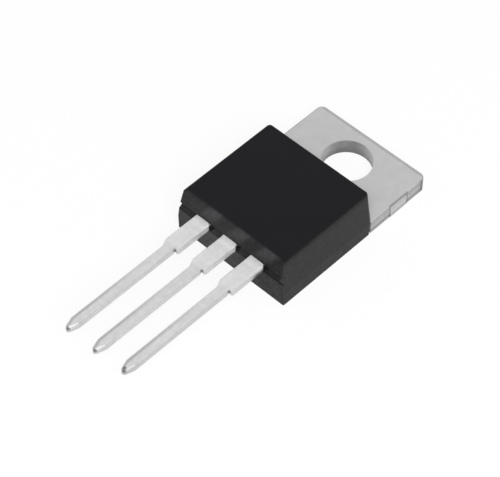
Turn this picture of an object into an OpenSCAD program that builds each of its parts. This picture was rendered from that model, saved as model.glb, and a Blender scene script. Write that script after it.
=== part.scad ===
// Three-lead power transistor in a moulded single-screw package, with a copper mounting tab.
// The origin is on the mounting hole's axis at the tab's back face. The back lies on z = 0,
// +X is across the body, +Y points to the tab's far end, and the leads point to -Y.
// Lengths are in millimetres and angles in degrees.

/* [Moulded body] */
// Width at the seam, where the two halves of the mould meet
body_w = 10.05; // [9.9:0.05:10.6]
// Length along the leads, at the base
body_l = 8.8; // [8.6:0.05:9.2]
// Height above the mounting face
body_h = 4; // [3.8:0.05:4.8]
// Distance from the mounting hole's axis to the body's back wall
hole_to_body = 3; // [2.8:0.05:3.4]
// Draft of the two side walls above the seam
side_draft = 8; // [4:0.5:10]
// Draft of the back wall above the seam
back_draft = 1; // [0.5:0.5:5]
// Draft of the front wall above the leads
front_draft = 9.5; // [5:0.5:12]
// Draft of all walls below the seam
base_draft = 1.5; // [1:0.5:5]
// Radius of the two upright corners at the front
front_corner_r = 0.08; // [0.05:0.01:0.2]
// Radius of the two upright corners at the back
back_corner_r = 0.25; // [0.15:0.05:0.5]
// Radius of the edges round the top face
top_edge_r = 0.13; // [0.05:0.01:0.25]
// Depth of the recess that crosses the front wall at the leads
recess_depth = 0.36; // [0.1:0.01:0.4]
// Height of the front block below the recess
land_h = 2.04; // [1.9:0.02:2.1]
// Height of the slope from the block's front edge in to the recess floor
recess_slope_h = 0.34; // [0.3:0.02:0.6]

/* [Mounting tab] */
// Width of the tab
tab_w = 9.95; // [9.5:0.05:10.2]
// Thickness of the tab and of the pad inside the body
tab_t = 1.2; // [1.1:0.05:1.4]
// Distance from the mounting hole's axis to the tab's far end
hole_to_end = 2.75; // [2.5:0.05:3.4]
// Diameter of the mounting hole
hole_d = 3.7; // [3.5:0.05:3.9]
// Radius of the rounded rim at the top of the hole
hole_rim_r = 0.06; // [0.05:0.01:0.2]
// Radius of the tab's two far corners
tab_corner_r = 0.5; // [0.3:0.05:1]
// Radius that stamping leaves along the tab's top edges
tab_edge_r = 0.12; // [0.06:0.02:0.3]
// Length of the cut tie-bar stub on each side of the tab
stub_l = 1.65; // [1:0.05:2]
// Height of the stub, which is thinner than the tab
stub_h = 0.8; // [0.6:0.05:1]
// Distance that the stub stands proud of the tab's side
stub_proud = 0.03; // [0.02:0.01:0.1]
// Distance from the mounting hole's axis to the stub's near end
stub_near = 1; // [0.6:0.1:1.2]

/* [Die pad in the body] */
// Width of the pad's upper step, which the plastic grips
pad_w = 8.4; // [7.8:0.1:8.8]
// Length of the pad in front of the tab
pad_l = 7; // [6.8:0.05:7.1]
// Width of the ledge that narrows the pad's bare underside
pad_ledge = 0.4; // [0.2:0.05:0.6]
// Height of that ledge
pad_ledge_h = 0.5; // [0.3:0.05:0.7]
// Distance from the body's back wall to the lock groove across the pad
lock_groove_back = 0.9; // [0.6:0.05:1.2]
// Width of the lock groove
lock_groove_w = 0.3; // [0.2:0.05:0.4]
// Depth of the lock groove
lock_groove_depth = 0.15; // [0.1:0.01:0.2]

/* [Leads] */
// Distance between the centres of neighbouring leads
lead_pitch = 2.54; // [2.5:0.01:2.6]
// Thickness of the leads
lead_t = 0.5; // [0.4:0.02:0.55]
// Height of the leads' underside above the mounting face
lead_z = 2.27; // [2.2:0.01:2.4]
// Width of the wide stretch next to the body
stem_w = 1.33; // [1.1:0.01:1.4]
// Length of the wide stretch outside the body, up to its square shoulder
stem_l = 3.08; // [2.5:0.02:3.5]
// Radius by which each lead draws in on its +X side where it enters the body
root_r = 0.26; // [0.1:0.02:0.3]
// Width of the narrow stretch
lead_w = 0.78; // [0.6:0.01:0.85]
// Length of the leads outside the body
lead_l = 12.65; // [11:0.05:14]
// How much shorter the emitter lead is cut
emitter_short = 0.14; // [0:0.02:0.3]
// Radius of the square shoulder's corner, on each lead's +X side
shoulder_r = 0.16; // [0.1:0.02:0.24]
// Length of the tapered shoulder on the other side
taper_l = 0.58; // [0.4:0.02:1]
// Distance that the taper begins before the square shoulder
taper_ahead = 0.24; // [0:0.02:0.3]
// Radius of the relief in the square shoulder's inner corner
nick_r = 0.1; // [0.06:0.01:0.12]
// Length of the tapered tip
tip_l = 0.8; // [0.7:0.05:1.2]
// Radius of the tip's blunt nose
nose_r = 0.21; // [0.18:0.01:0.26]
// Width of the bevel round the nose's upper edge
tip_bevel = 0.15; // [0.08:0.01:0.16]
// Radius along the leads' upper edges
lead_edge_r = 0.1; // [0.04:0.01:0.14]
// Width of the bond post at the inner end of each outer lead
post_w = 1.9; // [1.6:0.05:2.1]
// Length of the bond post
post_l = 1.6; // [1.3:0.05:1.8]
// Thickness of the plastic between the bond post and the recess floor
post_setback = 0.35; // [0.2:0.05:0.5]
// Slope of the centre lead where it climbs from the pad to the row of leads
joggle_angle = 65; // [60:1:75]
// Centreline radius of the centre lead's two bends
joggle_r = 0.45; // [0.4:0.01:0.5]

/* [Chip and bond wires] */
// Side of the square silicon chip
die_w = 2.6; // [2.2:0.1:3]
// Thickness of the chip
die_t = 0.28; // [0.2:0.02:0.36]
// Distance from the body's back wall to the chip's centre
die_back = 3.7; // [3.3:0.1:3.9]
// Thickness of the solder under the chip
solder_t = 0.05; // [0.03:0.01:0.08]
// Width of the solder that shows round the chip
solder_margin = 0.15; // [0.05:0.05:0.3]
// Diameter of the emitter's bond wire
emitter_wire_d = 0.38; // [0.3:0.02:0.42]
// Diameter of the base's bond wire
base_wire_d = 0.25; // [0.2:0.01:0.3]
// Distance from the body's top face down to the middle of each wire at its peak
loop_depth = 0.75; // [0.65:0.01:0.85]
// Distance from the chip's edge to the middle of each bond on it
bond_inset = 0.6; // [0.5:0.05:0.8]

/* [Hidden] */

eps = 0.01;
past = 1; // how far a cutting shape runs on outside the solid that it cuts
edge_steps = 4;
bend_steps = 6;
round_fn = 48;
small_fn = 24;
body_front = -hole_to_body - body_l;
body_back = -hole_to_body;
lead_top = lead_z + lead_t;
recess_floor = body_front + recess_depth;
front_lip = 0.04;
lead_root = body_front + front_lip;
lead_tip = body_front - lead_l;
pad_back = body_back - tab_t * tan(base_draft);
pad_front = pad_back - pad_l;
post_front = recess_floor + post_setback;
post_back = post_front + post_l;
die_y = body_back - die_back;
die_base = tab_t + solder_t;
die_top = die_base + die_t;
loop_top = body_h - loop_depth;
base_color = [0.14, 0.14, 0.15];
plate_color = [0.74, 0.74, 0.74];
tin_color = [0.85, 0.85, 0.86];

// Points along an arc, for profiles whose corners are rounded
function arc(x, y, r, from, to, steps = edge_steps) = [
    for (i = [0:steps]) let (a = from + (to - from) * i / steps) [x + r * cos(a), y + r * sin(a)]
];

// How far each of the body's walls stands in from its place at the seam, at height z
function inset(z, draft) = z > tab_t ? (z - tab_t) * tan(draft) : (tab_t - z) * tan(base_draft);

// The front wall is upright up to the leads and leans back above them
function front_at(z) = z > lead_top
    ? lead_root + (z - lead_top) * tan(front_draft)
    : body_front + front_lip * max(0, z - land_h) / (lead_top - land_h);

// A thin slice of the body's outline at height z, drawn in by a further margin
module body_slice(z, margin = 0) {
    half = body_w / 2 - inset(z, side_draft) - margin;
    back = body_back - inset(z, back_draft) - margin;
    front = front_at(z) + margin;
    back_r = back_corner_r - margin / 2;
    front_r = max(front_corner_r - margin / 2, 2 * eps);
    translate([0, 0, z - eps])
        linear_extrude(eps)
            polygon(concat(
                arc(half - back_r, back - back_r, back_r, 0, 90),
                arc(-half + back_r, back - back_r, back_r, 90, 180),
                arc(-half + front_r, front + front_r, front_r, 180, 270),
                arc(half - front_r, front + front_r, front_r, 270, 360)
            ));
}

// The moulding's outer form: drafted walls that meet at the seam, under rounded top edges
module body_form() {
    hull() {
        body_slice(eps);
        body_slice(tab_t);
        body_slice(land_h);
        body_slice(lead_top);
        for (i = [0:edge_steps]) {
            a = 90 * i / edge_steps;
            body_slice(body_h - top_edge_r * (1 - sin(a)), top_edge_r * (1 - cos(a)));
        }
    }
}

// The recess across the front wall: a slope up from the lower block, then a flat floor
module front_recess() {
    translate([body_w / 2 + past, body_front, 0])
        rotate([90, 0, -90])
            linear_extrude(body_w + 2 * past)
                polygon([
                    [0, land_h],
                    [-recess_depth, land_h + recess_slope_h],
                    [-recess_depth, lead_top],
                    [past, lead_top],
                    [past, land_h]
                ]);
}

module moulded_body() {
    color(base_color)
        difference() {
            body_form();
            front_recess();
            collector_form();
            lead_form(-1);
            lead_form(1);
            solder_form();
            die_form();
            wire_form(-1, base_wire_d);
            wire_form(1, emitter_wire_d);
        }
}

// The tab's plate, with rounded far corners and softly rolled top edges
module tab_plate() {
    hull()
        for (i = [0:edge_steps + 1]) {
            a = 90 * (i - 1) / edge_steps;
            margin = i == 0 ? 0 : tab_edge_r * (1 - cos(a));
            z = i == 0 ? 0 : tab_t - eps - tab_edge_r * (1 - sin(a));
            half = tab_w / 2 - margin;
            r = tab_corner_r - margin;
            translate([0, 0, z])
                linear_extrude(eps)
                    polygon(concat(
                        arc(half - r, hole_to_end - margin - r, r, 0, 90, 2 * edge_steps),
                        arc(-half + r, hole_to_end - margin - r, r, 90, 180, 2 * edge_steps),
                        [[-half, pad_back], [half, pad_back]]
                    ));
        }
}

// What is left of the bars that joined the tab to its neighbours in the strip
module tie_bar_stubs() {
    width = tab_w + 2 * stub_proud;
    translate([-width / 2, -stub_near, 0])
        cube([width, stub_l, stub_h]);
}

// The pad under the chip, stepped so that the plastic holds it down
module die_pad() {
    difference() {
        translate([-pad_w / 2, pad_front, 0])
            cube([pad_w, pad_l + eps, tab_t]);
        for (side = [-1, 1])
            translate([side * pad_w / 2 - pad_ledge, pad_front - eps, -eps])
                cube([2 * pad_ledge, pad_l + eps, pad_ledge_h + eps]);
        translate([-pad_w / 2 - eps, pad_front - pad_ledge, -eps])
            cube([pad_w + 2 * eps, 2 * pad_ledge, pad_ledge_h + eps]);
        translate([-pad_w / 2 - eps, body_back - lock_groove_back, tab_t - lock_groove_depth])
            cube([pad_w + 2 * eps, lock_groove_w, lock_groove_depth + eps]);
    }
}

module mounting_hole() {
    translate([0, 0, -past])
        cylinder(d = hole_d, h = tab_t + 2 * past, $fn = round_fn);
    rotate_extrude($fn = round_fn)
        polygon(concat(
            arc(hole_d / 2 + hole_rim_r, tab_t - hole_rim_r, hole_rim_r, 180, 90),
            [[hole_d / 2 + hole_rim_r, tab_t + past], [0, tab_t + past], [0, tab_t - hole_rim_r]]
        ));
}

// Where the centre lead's bends begin, measured from the row's plane, and where they end
joggle_rise = lead_top - tab_t;
joggle_straight = (joggle_rise - 2 * joggle_r * (1 - cos(joggle_angle))) / sin(joggle_angle);
joggle_run = 2 * joggle_r * sin(joggle_angle) + joggle_straight * cos(joggle_angle);

// The side view of one face of the joggle; s is +1 for the upper face and -1 for the lower
function joggle_face(s) = let (
    low = tab_t - lead_t / 2,
    high = lead_top - lead_t / 2,
    r_low = joggle_r - s * lead_t / 2,
    r_high = joggle_r + s * lead_t / 2
) concat(
    [[-pad_ledge - eps, low + s * lead_t / 2]],
    arc(0, low + joggle_r, r_low, -90, joggle_angle - 90, bend_steps),
    arc(joggle_run, high - joggle_r, r_high, joggle_angle + 90, 90, bend_steps),
    [[joggle_run + eps, high + s * lead_t / 2]]
);

function reversed(points) = [for (i = [len(points) - 1:-1:0]) points[i]];

// The centre lead's climb from the pad's top to the row of leads
module joggle() {
    translate([stem_w / 2, pad_front, 0])
        rotate([90, 0, -90])
            linear_extrude(stem_w)
                polygon(concat(joggle_face(1), reversed(joggle_face(-1))));
}

// A lead's cross-section, its upper edges rolled over by the stamping
module lead_section(w) {
    half = w / 2 - lead_edge_r;
    polygon(concat(
        [[-w / 2, 0], [w / 2, 0]],
        arc(half, lead_t - lead_edge_r, lead_edge_r, 0, 90),
        arc(-half, lead_t - lead_edge_r, lead_edge_r, 90, 180)
    ));
}

// A straight strip with that section, between two places along Y
module lead_strip(w, from, to) {
    translate([0, from, lead_z])
        rotate([90, 0, 0])
            linear_extrude(from - to)
                lead_section(w);
}

// The tapered tip that ends at y = end: the lead's own section, drawn down to a bevelled nose
module tip_form(end) {
    hull() {
        lead_strip(lead_w, end + tip_l + eps, end + tip_l);
        translate([0, end + nose_r, lead_z]) {
            cylinder(r = nose_r, h = lead_t - tip_bevel, $fn = small_fn);
            cylinder(r = nose_r - tip_bevel, h = lead_t, $fn = small_fn);
        }
    }
}

// The plan of the wide stretch: drawn in at the body, then a square shoulder and a tapered one
module stem_plan(inner, square, taper_start, taper_end) {
    neck = stem_w / 2 - root_r;
    polygon(concat(
        [[-stem_w, inner + past], [stem_w, inner + past], [stem_w, post_front], [neck, post_front]],
        arc(neck, lead_root - root_r, root_r, 90, 0),
        [[stem_w, lead_root - root_r], [stem_w, square + shoulder_r]],
        arc(stem_w / 2 - shoulder_r, square + shoulder_r, shoulder_r, 0, -90),
        [
            [0, square],
            [0, taper_end],
            [-lead_w / 2, taper_end],
            [-stem_w / 2, taper_start],
            [-stem_w, taper_start]
        ]
    ));
}

// One lead from a place inside the body to its tip, with the shoulders left by the dam bar
module lead_blade(inner, end = lead_tip) {
    square = body_front - stem_l;
    taper_start = square + taper_ahead;
    taper_end = taper_start - taper_l;
    difference() {
        union() {
            intersection() {
                lead_strip(stem_w, inner, taper_end);
                translate([0, 0, lead_z - past])
                    linear_extrude(lead_t + 2 * past)
                        stem_plan(inner, square, taper_start, taper_end);
            }
            lead_strip(lead_w, square + stem_w / 2, end + tip_l);
            tip_form(end);
        }
        translate([lead_w / 2 + nick_r / 2, square - nick_r / 2, lead_z - past])
            cylinder(r = nick_r, h = lead_t + 2 * past, $fn = small_fn);
    }
}

module collector_form() {
    difference() {
        union() {
            tab_plate();
            tie_bar_stubs();
            die_pad();
            joggle();
            lead_blade(pad_front - joggle_run);
        }
        mounting_hole();
    }
}

module collector_tab() {
    color(plate_color) collector_form();
}

// An outer lead: side is -1 for the base and +1 for the emitter
module lead_form(side) {
    translate([side * lead_pitch, 0, 0]) {
        lead_blade(post_front + eps, side > 0 ? lead_tip + emitter_short : lead_tip);
        translate([-post_w / 2, post_front, lead_z])
            cube([post_w, post_l, lead_t]);
    }
}

module base_lead() {
    color(tin_color) lead_form(-1);
}

module emitter_lead() {
    color(tin_color) lead_form(1);
}

module die_form() {
    translate([-die_w / 2, die_y - die_w / 2, die_base])
        cube([die_w, die_w, die_t]);
}

module silicon_die() {
    color([0.36, 0.38, 0.42]) die_form();
}

module solder_form() {
    width = die_w + 2 * solder_margin;
    translate([-width / 2, die_y - width / 2, tab_t])
        cube([width, width, solder_t]);
}

module die_solder() {
    color([0.62, 0.63, 0.64]) solder_form();
}

// Where a loop's centre lies, along its span, so that the loop peaks at loop_top
function loop_middle(span) = let (
    a = loop_top - die_top,
    b = loop_top - lead_top,
    c = a * (a * b - span * span - b * b)
) (sqrt(4 * a * a * span * span - 4 * (b - a) * c) - 2 * a * span) / (2 * (b - a));

// One bond wire: an arc from the chip to a bond post, pressed flat where it lands
module wire_form(side, d) {
    start = [side * (die_w / 2 - bond_inset), die_y - die_w / 2 + bond_inset];
    end = [side * lead_pitch, post_back - post_l / 2];
    span = norm(end - start);
    heading = atan2(end[1] - start[1], end[0] - start[0]);
    middle = loop_middle(span);
    rise = loop_top - die_top;
    r = (middle * middle + rise * rise) / (2 * rise);
    low = atan2(lead_top - loop_top + r, span - middle);
    high = 180 - atan2(r - rise, middle);
    overrun = 180 * d / (PI * r);
    foot = [2 * d, 1.25 * d, 0.4 * d];
    translate([start[0], start[1], 0])
        rotate([0, 0, heading]) {
            difference() {
                translate([middle, 0, loop_top - r])
                    rotate([90, 0, 0])
                        rotate([0, 0, low - overrun])
                            rotate_extrude(angle = high - low + 2 * overrun, $fn = 2 * round_fn)
                                translate([r, 0])
                                    circle(d = d, $fn = small_fn);
                translate([-span / 4, -d, die_top - past])
                    cube([span / 2, 2 * d, past]);
                translate([span - foot[0], -d, lead_top - past])
                    cube([2 * foot[0], 2 * d, past]);
            }
            translate([-foot[0] / 2, -foot[1] / 2, die_top])
                cube(foot);
            translate([span - foot[0] / 2, -foot[1] / 2, lead_top])
                cube(foot);
        }
}

module base_wire() {
    color([0.8, 0.8, 0.82]) wire_form(-1, base_wire_d);
}

module emitter_wire() {
    color([0.8, 0.8, 0.82]) wire_form(1, emitter_wire_d);
}

moulded_body();
collector_tab();
base_lead();
emitter_lead();
silicon_die();
die_solder();
base_wire();
emitter_wire();
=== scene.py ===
"""Looks of a three-lead power transistor with a mounting tab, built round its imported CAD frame.

Every length is in metres, or in millimetres times MM. +X is across the body, +Y points to the
tab's far end, +Z is up from the mounting face, and the origin is on the mounting hole's axis.
"""
import math

import bpy
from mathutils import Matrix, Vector


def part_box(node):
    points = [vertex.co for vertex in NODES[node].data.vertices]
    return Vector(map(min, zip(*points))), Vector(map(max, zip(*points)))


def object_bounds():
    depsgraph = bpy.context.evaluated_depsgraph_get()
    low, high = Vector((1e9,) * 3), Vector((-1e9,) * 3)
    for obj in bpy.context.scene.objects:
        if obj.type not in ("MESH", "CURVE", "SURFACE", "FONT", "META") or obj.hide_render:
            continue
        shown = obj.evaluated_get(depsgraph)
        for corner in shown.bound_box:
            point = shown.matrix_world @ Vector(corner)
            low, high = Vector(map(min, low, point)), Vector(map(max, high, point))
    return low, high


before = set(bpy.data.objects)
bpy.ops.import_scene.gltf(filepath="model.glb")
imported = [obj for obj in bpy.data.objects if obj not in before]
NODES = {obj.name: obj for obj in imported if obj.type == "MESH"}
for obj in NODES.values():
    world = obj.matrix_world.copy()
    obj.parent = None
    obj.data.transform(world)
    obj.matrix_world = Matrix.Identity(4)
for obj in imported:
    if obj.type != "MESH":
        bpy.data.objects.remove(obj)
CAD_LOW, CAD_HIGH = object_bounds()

MM = 0.001
BODY_LOW, BODY_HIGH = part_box("moulded_body")
TAB_LOW, TAB_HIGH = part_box("collector_tab")
LEAD_LOW, LEAD_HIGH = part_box("base_lead")

PITCH = -(LEAD_LOW.x + LEAD_HIGH.x) / 2
TIP_Y = TAB_LOW.y  # where the base and collector leads end, a little past the emitter lead

# Sizes and places that no piece's box gives, as the part's solids have them
LEAD_W = 0.78 * MM
SHOULDER_Y = BODY_LOW.y - 3.08 * MM  # the leads' square shoulder
TOP_EDGE_Y = BODY_LOW.y + 0.25 * MM  # where the front wall meets the top
LEDGE_Z = 2.04 * MM  # top of the front wall below the recess
TAB_T = 1.2 * MM  # the moulding's seam is at this height too
HOLE_R = 1.85 * MM
STUB_PROUD = 0.03 * MM
TAB_SIDE = TAB_HIGH.x - STUB_PROUD
STUB_H = 0.8 * MM
STUB_NEAR_Y = -1.0 * MM
STUB_FAR_Y = 0.65 * MM

# Colours, and what the materials share
MARK_R = 0.19 * MM  # how far a nick or burr on a lead reaches
TAB_METALLIC = 0.2
TIN_METALLIC = 0.45
TOP_BLACK = (0.0024, 0.0016, 0.0032, 1)
TOP_CLOUD = (0.0042, 0.0034, 0.0052, 1)
# painted highlight along the front's top edge
TOP_EDGE_PAINTED_HIGHLIGHT = (0.021, 0.020, 0.022, 1)
# painted reflection of each lead in the front wall over it
LEAD_PAINTED_REFLECTION = (0.044, 0.043, 0.046, 1)
# painted light: an even dark grey that lifts the shade in the recess between the leads
RECESS_PAINTED_LIGHT = (0.012, 0.012, 0.013, 1)


# ---------------------------------------------------------------- node trees

class Look:
    """One procedural material: a Principled shader and short calls for the nodes that feed it."""

    def __init__(self, name, **constants):
        self.material = bpy.data.materials.new(name)
        self.material.use_nodes = True
        self.tree = self.material.node_tree
        self.shader = self.tree.nodes["Principled BSDF"]
        for socket, value in constants.items():
            self.shader.inputs[socket.replace("_", " ")].default_value = value
        source = self.node("ShaderNodeTexCoord")
        self.place = source.outputs["Object"]
        split = self.node("ShaderNodeSeparateXYZ", {"Vector": self.place})
        self.x, self.y, self.z = split.outputs
        facing = self.node("ShaderNodeSeparateXYZ", {"Vector": source.outputs["Normal"]})
        self.right, self.back, self.up = facing.outputs

    def node(self, kind, inputs=None, **settings):
        made = self.tree.nodes.new(kind)
        for name, value in settings.items():
            setattr(made, name, value)
        for socket, value in (inputs or {}).items():
            self.feed(made.inputs[socket], value)
        return made

    def feed(self, socket, value):
        """Links an output to the socket, or sets the socket to a plain value."""
        if isinstance(value, bpy.types.NodeSocket):
            self.tree.links.new(value, socket)
        else:
            socket.default_value = value

    def set(self, socket, value):
        self.feed(self.shader.inputs[socket], value)

    def math(self, operation, *values):
        made = self.node("ShaderNodeMath", dict(enumerate(values)), operation=operation)
        return made.outputs[0]

    def product(self, first, *rest):
        for value in rest:
            first = self.math("MULTIPLY", first, value)
        return first

    def noise(self, grain, detail=2.0, stretch=(1, 1, 1)):
        """Noise whose features are about grain across, from 0 to 1."""
        place = self.place
        if stretch != (1, 1, 1):
            place = self.node("ShaderNodeMapping", {"Vector": place, "Scale": stretch}).outputs[0]
        made = self.node(
            "ShaderNodeTexNoise", {"Vector": place, "Scale": 1 / grain, "Detail": detail}
        )
        return made.outputs["Fac"]

    def ramp(self, value, start, end, low=0.0, high=1.0):
        """low at start and high at end, with a smooth step between and level beyond."""
        made = self.node(
            "ShaderNodeMapRange",
            {"Value": value, "From Min": start, "From Max": end, "To Min": low, "To Max": high},
            interpolation_type="SMOOTHSTEP",
        )
        return made.outputs["Result"]

    def spread(self, value, low, high, start=0.3, end=0.7):
        """A value between start and end, moved to lie between low and high."""
        made = self.node(
            "ShaderNodeMapRange",
            {"Value": value, "From Min": start, "From Max": end, "To Min": low, "To Max": high},
        )
        return made.outputs["Result"]

    def within(self, value, low, high, soft):
        """1 between low and high, and 0 outside them, over soft edges."""
        rise = self.ramp(value, low - soft / 2, low + soft / 2)
        fall = self.ramp(value, high - soft / 2, high + soft / 2, 1, 0)
        return self.product(rise, fall)

    def spot(self, x, y, z, place, radius):
        """1 at a place and 0 further than the radius from it."""
        point = self.node("ShaderNodeCombineXYZ", {"X": x, "Y": y, "Z": z}).outputs[0]
        gap = self.node("ShaderNodeVectorMath", {0: point, 1: place}, operation="DISTANCE")
        return self.ramp(gap.outputs["Value"], 0.3 * radius, radius, 1, 0)

    def tint(self, mask, value):
        """A factor for a tone: the value where the mask is 1, and 1 where it is 0."""
        return self.spread(mask, 1, value, 0, 1)

    def mix(self, factor, under, over):
        """The value under where the factor is 0, and the value over where it is 1."""
        made = self.node("ShaderNodeMix", {"Factor": factor}, data_type="RGBA")
        self.feed(made.inputs["A"], under)
        self.feed(made.inputs["B"], over)
        return made.outputs["Result"]

    def bump(self, height, depth, under=None):
        """Relief of that depth, on top of an earlier bump's normal."""
        made = self.node(
            "ShaderNodeBump", {"Height": height, "Strength": 1.0, "Distance": depth}
        )
        if under is not None:
            self.feed(made.inputs["Normal"], under)
        return made.outputs["Normal"]

    def from_lead(self, x):
        """How far x is to the right of the middle of the nearest lead."""
        nearest = self.math("ROUND", self.math("DIVIDE", x, PITCH))
        nearest = self.math("MINIMUM", self.math("MAXIMUM", nearest, -1), 1)
        return self.math("SUBTRACT", x, self.product(nearest, PITCH))


def grey(value, alpha=1.0):
    return (value, value, value, alpha)


# ---------------------------------------------------------------- materials

def below_top(look):
    """A factor for the side walls and upright corners, which darken towards the top."""
    return look.ramp(look.z, BODY_HIGH.z - 0.65 * MM, BODY_HIGH.z - 0.05 * MM, 1, 0.12)


def wall_gloss(look, side):
    """The walls' gloss: on the sides, less below the seam and by the top, and on the front, most a
    little left of the middle and below the recess."""
    from_brightest = look.math("ABSOLUTE", look.math("ADD", look.x, 1.5 * MM))
    front_gloss = look.product(
        look.ramp(from_brightest, 0, 5.0 * MM, 0.38, 0.01),
        look.ramp(look.z, LEDGE_Z, LEDGE_Z + 0.4 * MM, 0.9, 0.5),
    )
    side_gloss = look.product(
        look.ramp(look.z, TAB_T - 0.05 * MM, TAB_T + 0.05 * MM, 0.05, 0.24), below_top(look)
    )
    return look.mix(side, front_gloss, side_gloss)


def walls_and_top(look, side, sideways, matt):
    """A cloudy black top and flecked black walls, with painted light a little paler on the front
    below the recess, and a painted highlight on the upright corners."""
    top_tone = look.mix(look.noise(2.5 * MM, 3), TOP_BLACK, TOP_CLOUD)
    low_block = look.ramp(look.z, LEDGE_Z, LEDGE_Z - 0.2 * MM)
    fleck = look.spread(look.noise(0.14 * MM, 2), 0, 1, 0.35, 0.65)
    # painted light: a paler fleck on the front below the recess
    front_fleck = look.mix(low_block, grey(0.014), grey(0.023))
    wall_tone = look.mix(fleck, grey(0.0), look.mix(side, front_fleck, grey(0.007)))
    # painted highlight on the upright corners, palest below the recess
    corner = look.product(
        look.within(sideways, 0.25, 0.9, 0.2), look.tint(matt, 0), below_top(look)
    )
    corner_highlight_tone = look.mix(low_block, grey(0.010), grey(0.030))
    return look.mix(corner, look.mix(matt, wall_tone, top_tone), corner_highlight_tone)


def front_painted_highlights(look, tone, near_front):
    """Adds a pale, speckled painted highlight along the front's top edge, and a painted
    reflection of each lead in a slanting patch over it."""
    speckle = look.ramp(look.noise(0.4 * MM, 3), 0.3, 0.7, 0.6, 1)
    # painted highlight along the front's top edge
    edge_highlight = look.product(
        near_front, speckle,
        look.ramp(look.z, BODY_HIGH.z - 0.16 * MM, BODY_HIGH.z - 0.08 * MM),
        look.ramp(look.x, BODY_HIGH.x - 0.9 * MM, BODY_HIGH.x - 0.4 * MM, 1, 0),
    )
    tone = look.mix(edge_highlight, tone, TOP_EDGE_PAINTED_HIGHLIGHT)

    rise = look.math("SUBTRACT", look.z, LEAD_HIGH.z)
    across = look.from_lead(look.math("SUBTRACT", look.x, look.product(rise, 0.75)))
    # painted reflection of each lead, in a slanting patch over it
    lead_reflection = look.product(
        near_front, speckle,
        look.within(across, -0.60 * MM, 0.60 * MM, 0.5 * MM),
        look.ramp(rise, 0.28 * MM, 1.0 * MM, 0.5, 1.0),
        look.ramp(rise, 0.22 * MM, 0.28 * MM),
    )
    return look.mix(lead_reflection, tone, LEAD_PAINTED_REFLECTION)


def recess_painted_light(look, tone, near_front, side):
    """Paints light into the recess across the front: an even dark grey between the leads that
    lifts its shade, and a paler grey at its right end.
    """
    height = look.within(look.z, LEDGE_Z + 0.08 * MM, LEDGE_Z + 0.64 * MM, 0.1 * MM)
    from_lead = look.math("ABSOLUTE", look.from_lead(look.x))
    between_leads = look.product(height, near_front, look.ramp(from_lead, 0.6 * MM, 1.0 * MM))
    tone = look.mix(between_leads, tone, RECESS_PAINTED_LIGHT)
    # painted light that lifts the shade at the recess's right end
    right_end = look.product(
        height, look.tint(side, 0),
        look.ramp(look.y, TOP_EDGE_Y + 0.50 * MM, TOP_EDGE_Y + 0.30 * MM),
        look.ramp(look.x, BODY_HIGH.x - 0.65 * MM, BODY_HIGH.x - 0.40 * MM),
    )
    return look.mix(right_end, tone, grey(0.036))


def moulding_compound():
    """Black epoxy: a matt top from a spark-eroded mould, and smoother walls."""
    look = Look(
        "moulding_compound", Specular_IOR_Level=0.14, Coat_Roughness=0.22, Coat_IOR=1.5
    )
    sideways = look.math("ABSOLUTE", look.right)
    side = look.ramp(sideways, 0.2, 0.6)
    matt = look.ramp(look.math("ABSOLUTE", look.up), 0.90, 0.99)
    look.set("Coat Weight", look.product(wall_gloss(look, side), look.tint(matt, 0)))

    near_front = look.ramp(look.y, TOP_EDGE_Y + 0.30 * MM, TOP_EDGE_Y + 0.10 * MM)
    tone = front_painted_highlights(look, walls_and_top(look, side, sideways, matt), near_front)
    look.set("Base Color", recess_painted_light(look, tone, near_front, side))

    look.set("Roughness", look.spread(look.noise(0.6 * MM, 3), 0.40, 0.48))
    grain = look.bump(look.noise(0.09 * MM, 3), 0.006 * MM)
    look.set("Normal", look.bump(look.noise(0.9 * MM, 2), 0.006 * MM, grain))
    return look.material


def rolled_strip(look, low, high, roughness, cloud_grain, streak):
    """Tone and roughness of plating over a rolled strip: soft clouds, and marks along it."""
    cloud = look.noise(cloud_grain, 4)
    marks = look.noise(0.22 * MM, 3, streak)
    mottle = look.math("ADD", look.product(cloud, 0.65), look.product(marks, 0.35))
    tone = look.spread(mottle, low, high, 0.35, 0.65)
    return tone, look.spread(marks, roughness - 0.04, roughness + 0.04)


def tab_top(look):
    """Tone and roughness of the tab's faces: painted shade along the far edge and the sides, most
    in the far corners, and paler beside the body, to make up for its shadow."""
    tone, roughness = rolled_strip(look, 0.48, 0.52, 0.55, 0.7 * MM, (1, 0.15, 1))
    far_edge_shade = look.ramp(look.y, TAB_HIGH.y - 0.34 * MM, TAB_HIGH.y - 0.22 * MM)
    out = look.math("ABSOLUTE", look.x)
    side_edge_shade = look.ramp(out, TAB_SIDE - 0.18 * MM, TAB_SIDE - 0.08 * MM)
    far_corner_shade = look.product(
        look.ramp(look.y, TAB_HIGH.y - 1.3 * MM, TAB_HIGH.y - 0.5 * MM),
        look.math("MAXIMUM", far_edge_shade, side_edge_shade),
    )
    by_body = look.product(
        look.ramp(look.y, 0.3 * MM, -1.3 * MM), look.ramp(look.x, 3.4 * MM, 1.8 * MM)
    )
    # painted shade at the edges and far corners, and painted light beside the body
    tone = look.product(
        tone, look.tint(far_edge_shade, 0.9), look.tint(side_edge_shade, 0.94),
        look.tint(far_corner_shade, 0.86), look.tint(by_body, 1.12),
    )
    return tone, roughness


def punched_hole(look, mottle):
    """A mask of the hole's wall, and its factor of painted shade and light: darkest deep down,
    and paler at both ends of the part that the camera sees."""
    from_axis = look.math(
        "SQRT", look.math("ADD", look.product(look.x, look.x), look.product(look.y, look.y))
    )
    bore = look.ramp(from_axis, HOLE_R + 0.09 * MM, HOLE_R + 0.02 * MM)
    # painted shade deep in the hole, and painted light at both ends of the wall the camera sees
    factor = look.product(
        look.ramp(look.z, 0.06 * MM, 0.9 * MM, 0.28, 0.455),
        look.ramp(look.x, -0.8 * MM, 1.4 * MM, 0.97, 2.9),
        look.ramp(look.y, 1.15 * MM, -0.6 * MM, 1, 1.95),
        mottle,
    )
    return bore, factor


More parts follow.
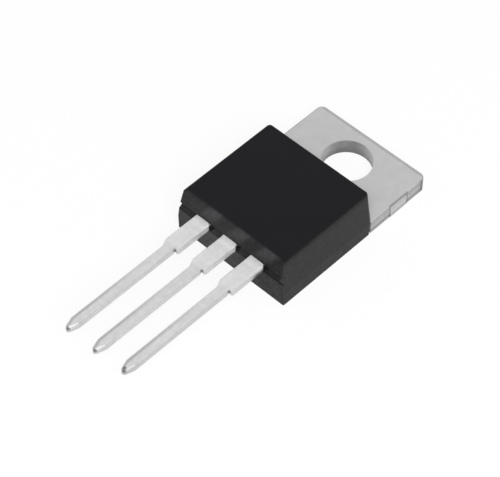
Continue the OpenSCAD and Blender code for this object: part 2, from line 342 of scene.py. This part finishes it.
def stub_masks(look):
    """Two masks: a cut tie-bar stub with the bright cut just above it, and a painted shadow line
    round both."""
    stub_top = STUB_H + 0.2 * MM
    stub = look.product(
        look.within(look.y, STUB_NEAR_Y, STUB_FAR_Y, 0.08 * MM),
        look.ramp(look.z, stub_top + 0.04 * MM, stub_top - 0.04 * MM),
    )
    # a painted shadow line round the stub
    stub_shadow_line = look.product(
        look.within(look.y, STUB_NEAR_Y - 0.14 * MM, STUB_FAR_Y + 0.16 * MM, 0.06 * MM),
        look.ramp(look.math("ABSOLUTE", look.x), TAB_SIDE - 0.12 * MM, TAB_SIDE - 0.04 * MM),
        look.tint(stub, 0),
    )
    return stub, stub_shadow_line


def sheared_side(look, stub, mottle):
    """A factor for the tab's sides: two dark bands, painted shade round the far corners, and a
    bright stub with a dark foot."""
    sheared = look.product(
        look.tint(look.within(look.z, 0.70 * MM, TAB_T, 0.3 * MM), 0.88),
        look.tint(look.within(look.z, 0.14 * MM, 0.40 * MM, 0.14 * MM), 0.60),
        # painted shade towards the far corners
        look.ramp(look.y, TAB_HIGH.y - 0.75 * MM, TAB_HIGH.y - 0.5 * MM, 0.83, 0.50),
        mottle,
    )
    stub_foot = look.tint(look.within(look.z, 0.12 * MM, 0.32 * MM, 0.14 * MM), 0.70)
    return look.spread(stub, sheared, stub_foot, 0, 1)


def tab_finish(look):
    """Tone and roughness of the dull plating on the tab, its hole and its sheared sides."""
    tone, roughness = tab_top(look)
    mottle = look.spread(look.noise(0.35 * MM, 3), 0.93, 1.07)
    bore, bore_shade_and_light = punched_hole(look, mottle)
    stub, stub_shadow_line = stub_masks(look)
    side = look.product(
        look.ramp(look.math("ABSOLUTE", look.up), 0.93, 0.35), look.tint(bore, 0)
    )
    # the stub's painted shadow line darkens the tone here
    tone = look.product(
        tone, look.tint(stub_shadow_line, 0.62),
        look.spread(side, 1, sheared_side(look, stub, mottle), 0, 1),
        look.spread(bore, 1, bore_shade_and_light, 0, 1),
    )
    return tone, roughness


def lead_right_side_light(look, on_emitter):
    """A factor of painted light and shade for the leads' right sides: brightest by the body, but
    for a painted shadow along the lower edge there.
    """
    # painted shadow along the sides' lower edge near the body
    low_edge_shadow = look.product(
        look.ramp(look.z, LEAD_LOW.z + 0.34 * MM, LEAD_LOW.z + 0.12 * MM),
        look.ramp(look.y, BODY_LOW.y - 1.3 * MM, BODY_LOW.y - 0.7 * MM),
    )
    # painted light on the sides by the body
    factor = look.product(
        look.ramp(look.y, SHOULDER_Y + 0.8 * MM, BODY_LOW.y - 0.6 * MM, 0.98, 1.3),
        look.ramp(look.y, TIP_Y + 2.5 * MM, TIP_Y + 0.5 * MM, 1, 0.9),
        look.tint(on_emitter, 0.87), look.tint(low_edge_shadow, 0.8),
        look.tint(look.product(low_edge_shadow, on_emitter), 0.30),
    )
    return look.spread(look.right, 1, factor, 0.5, 0.9)


def lead_left_edge_shade(look, across):
    """A painted shade line along the left edge of a lead's narrow part, which follows the tip
    inwards.
    """
    ahead = look.ramp(look.y, SHOULDER_Y - 1 * MM, TIP_Y + 2 * MM)
    drawn_in = look.spread(look.y, 0.2 * MM, 0, TIP_Y + 0.2 * MM, TIP_Y + 0.8 * MM)
    from_left = look.math("SUBTRACT", look.math("ADD", across, LEAD_W / 2), drawn_in)
    left = look.within(from_left, 0.08 * MM, 0.26 * MM, 0.12 * MM)
    return look.tint(look.product(ahead, left), 0.68)


def lead_tip_bevel(look, on_emitter):
    """A mask of the tip's bevels that face right, and the factor of painted shade that dims
    their highlight.
    """
    bevel = look.product(
        look.ramp(look.y, TIP_Y + 1.0 * MM, TIP_Y + 0.8 * MM),
        look.within(look.up, 0.35, 0.93, 0.1), look.ramp(look.right, -0.1, 0.1),
    )
    # painted shade on the bevels, deepest where they face less to the right
    bevel_dimming = look.product(
        look.ramp(look.right, 0.35, 0.62, 0.45, 0.85), look.tint(on_emitter, 0.95)
    )
    return bevel, look.spread(bevel, 1, bevel_dimming, 0, 1)


def lead_nick_shade_and_burrs(look, across, on_emitter):
    """A factor for painted shade in the nick at each lead's shoulder, and the dark burrs on its
    tip.
    """
    nick_place = (0.43 * MM, SHOULDER_Y - 0.03 * MM, LEAD_HIGH.z - 0.29 * MM)
    # painted shade in the nick at the shoulder
    factor = look.tint(look.spot(across, look.y, look.z, nick_place, MARK_R), 0.12)
    on_others = look.tint(on_emitter, 0)
    for share, burr_place in (
        (on_others, (0.14 * MM, TIP_Y + 0.06 * MM, LEAD_HIGH.z - 0.17 * MM)),
        (on_emitter, (0.02 * MM, TIP_Y + 0.36 * MM, LEAD_HIGH.z - 0.05 * MM)),
        (on_emitter, (0.14 * MM, TIP_Y + 0.21 * MM, LEAD_HIGH.z - 0.17 * MM)),
    ):
        burr = look.spot(across, look.y, look.z, burr_place, MARK_R)
        factor = look.product(factor, look.tint(look.product(burr, share), 0.28))
    return factor


def lead_finish(look):
    """Tone and roughness of the bright tin on the leads, which is duller on the narrow part."""
    tone, roughness = rolled_strip(look, 0.62, 0.71, 0.34, 0.4 * MM, (1, 0.12, 1))
    across = look.from_lead(look.x)
    on_emitter = look.ramp(look.x, 0.4 * PITCH, 0.6 * PITCH)
    # painted light that brightens the tin towards the body
    root = look.ramp(look.y, BODY_LOW.y - 0.95 * MM, BODY_LOW.y - 0.1 * MM)
    narrow = look.ramp(look.y, SHOULDER_Y + 0.2 * MM, SHOULDER_Y - 0.2 * MM)
    # painted shade on the leads' rounded right edges
    right_edge_shade = look.within(look.right, 0.35, 0.88, 0.1)
    bevel, bevel_shade = lead_tip_bevel(look, on_emitter)
    tone = look.product(
        tone, look.tint(root, 1.45), look.tint(narrow, 0.92),
        lead_right_side_light(look, on_emitter), lead_left_edge_shade(look, across),
        look.tint(right_edge_shade, 0.89), bevel_shade, lead_nick_shade_and_burrs(look, across, on_emitter),
    )
    roughness = look.math("ADD", roughness, look.product(bevel, 0.12))
    return look.math("MINIMUM", tone, 0.95), roughness


def plating_relief(look):
    """The fine grain of the plating on the tab and the leads."""
    return look.bump(look.noise(0.12 * MM, 3), 0.004 * MM)


def plated_copper_and_tin():
    """The collector's one piece of copper: dull plating on the tab, bright tin on its lead."""
    look = Look("plated_copper")
    tab, tab_roughness = tab_finish(look)
    tin, tin_roughness = lead_finish(look)
    on_lead = look.ramp(look.y, BODY_LOW.y + 0.6 * MM, BODY_LOW.y + 0.2 * MM)
    look.set("Base Color", look.mix(on_lead, tab, tin))
    look.set("Metallic", look.spread(on_lead, TAB_METALLIC, TIN_METALLIC, 0, 1))
    look.set("Roughness", look.mix(on_lead, tab_roughness, tin_roughness))
    look.set("Normal", plating_relief(look))
    return look.material


def tin_plate():
    """The two outer leads' bright tin."""
    look = Look("tinned_copper", Metallic=TIN_METALLIC)
    tone, roughness = lead_finish(look)
    look.set("Base Color", tone)
    look.set("Roughness", roughness)
    look.set("Normal", plating_relief(look))
    return look.material


def hidden_finish(name, low, high, roughness):
    """A clouded, metallic finish for a piece inside the body."""
    look = Look(name, Metallic=1.0)
    look.set("Base Color", look.mix(look.noise(0.3 * MM, 3), low, high))
    look.set("Roughness", look.spread(look.noise(0.1 * MM), roughness - 0.05, roughness + 0.05))
    return look.material


# ---------------------------------------------------------------- stage

def seen_share(tree, camera, reflected):
    """The camera's share for rays that the camera sends, the reflected share for glossy and
    transmitted ones, and 0 for the rays that carry light."""
    path = tree.nodes.new("ShaderNodeLightPath")
    total = None
    for name, share in (
        ("Is Camera Ray", camera), ("Is Glossy Ray", reflected), ("Is Transmission Ray", reflected)
    ):
        step = tree.nodes.new("ShaderNodeMath")
        step.operation = "MULTIPLY_ADD"
        tree.links.new(path.outputs[name], step.inputs[0])
        step.inputs[1].default_value = share
        step.inputs[2].default_value = 0.0
        if total is not None:
            tree.links.new(total, step.inputs[2])
        total = step.outputs[0]
    return total


def white_world(level):
    """White to the camera and in reflections; it lights the object at the given level."""
    world = bpy.data.worlds.new("studio")
    bpy.context.scene.world = world
    world.use_nodes = True
    tree = world.node_tree
    background = tree.nodes["Background"]
    background.inputs["Color"].default_value = grey(1.0)
    strength = tree.nodes.new("ShaderNodeMapRange")
    strength.inputs["To Min"].default_value = level
    strength.inputs["To Max"].default_value = 1.0
    share = seen_share(tree, camera=1.0, reflected=1.0)
    tree.links.new(share, strength.inputs["Value"])
    tree.links.new(strength.outputs["Result"], background.inputs["Strength"])


def white_floor(half, z, camera, reflected):
    """A pale floor that keeps a faint shadow; the shares of it that are always white are given
    for the camera and for reflections."""
    mesh = bpy.data.meshes.new("floor")
    corners = [(-half, -half, z), (half, -half, z), (half, half, z), (-half, half, z)]
    mesh.from_pydata(corners, [], [(0, 1, 2, 3)])
    floor = bpy.data.objects.new("floor", mesh)
    bpy.context.scene.collection.objects.link(floor)

    material = bpy.data.materials.new("floor")
    material.use_nodes = True
    tree = material.node_tree
    tree.nodes.remove(tree.nodes["Principled BSDF"])
    diffuse = tree.nodes.new("ShaderNodeBsdfDiffuse")
    diffuse.inputs["Color"].default_value = grey(0.95)
    white = tree.nodes.new("ShaderNodeEmission")
    both = tree.nodes.new("ShaderNodeMixShader")
    tree.links.new(seen_share(tree, camera, reflected), both.inputs["Fac"])
    tree.links.new(diffuse.outputs[0], both.inputs[1])
    tree.links.new(white.outputs[0], both.inputs[2])
    tree.links.new(both.outputs[0], tree.nodes["Material Output"].inputs["Surface"])
    mesh.materials.append(material)


def softbox(name, place, aim, side, power):
    """A square lamp, facing the aim."""
    lamp = bpy.data.lights.new(name, "AREA")
    lamp.size = side
    lamp.energy = power
    thing = bpy.data.objects.new(name, lamp)
    bpy.context.scene.collection.objects.link(thing)
    thing.location = place
    thing.rotation_euler = (Vector(aim) - Vector(place)).to_track_quat("-Z", "Y").to_euler()


def view_from(azimuth, elevation, aim, distance, lens):
    """Places the camera at a distance from the aim, looking at it; angles are in degrees."""
    turn = math.radians(azimuth)
    rise = math.radians(elevation)
    level = math.cos(rise)
    back = Vector((math.sin(turn) * level, -math.cos(turn) * level, math.sin(rise)))
    camera = bpy.data.cameras.new("camera")
    camera.lens = lens
    camera.clip_start = 0.1 * distance
    camera.clip_end = 100 * distance
    thing = bpy.data.objects.new("camera", camera)
    bpy.context.scene.collection.objects.link(thing)
    thing.location = Vector(aim) + distance * back
    thing.rotation_euler = (-back).to_track_quat("-Z", "Y").to_euler()
    bpy.context.scene.camera = thing


# ---------------------------------------------------------------- scene

bpy.context.scene.view_settings.view_transform = "Standard"

tin = tin_plate()
wire = hidden_finish("bond_wire", grey(0.78), grey(0.86), 0.3)
LOOKS = {
    "moulded_body": moulding_compound(),
    "collector_tab": plated_copper_and_tin(),
    "base_lead": tin,
    "emitter_lead": tin,
    "silicon_die": hidden_finish("silicon", (0.16, 0.17, 0.20, 1), (0.20, 0.21, 0.25, 1), 0.2),
    "die_solder": hidden_finish("solder", grey(0.42), grey(0.52), 0.45),
    "base_wire": wire,
    "emitter_wire": wire,
}
for name, material in LOOKS.items():
    NODES[name].data.materials.clear()
    NODES[name].data.materials.append(material)

white_world(level=0.5)
white_floor(half=3.0, z=CAD_LOW.z, camera=0.88, reflected=0.6)
softbox("key", place=(0.20, -0.16, 0.275), aim=(0, -0.01, 0), side=0.24, power=1.13)
view_from(
    azimuth=43.91, elevation=50.58,
    aim=(-0.067 * MM, -9.779 * MM, 1.074 * MM),
    distance=147.6 * MM, lens=155.68,
)
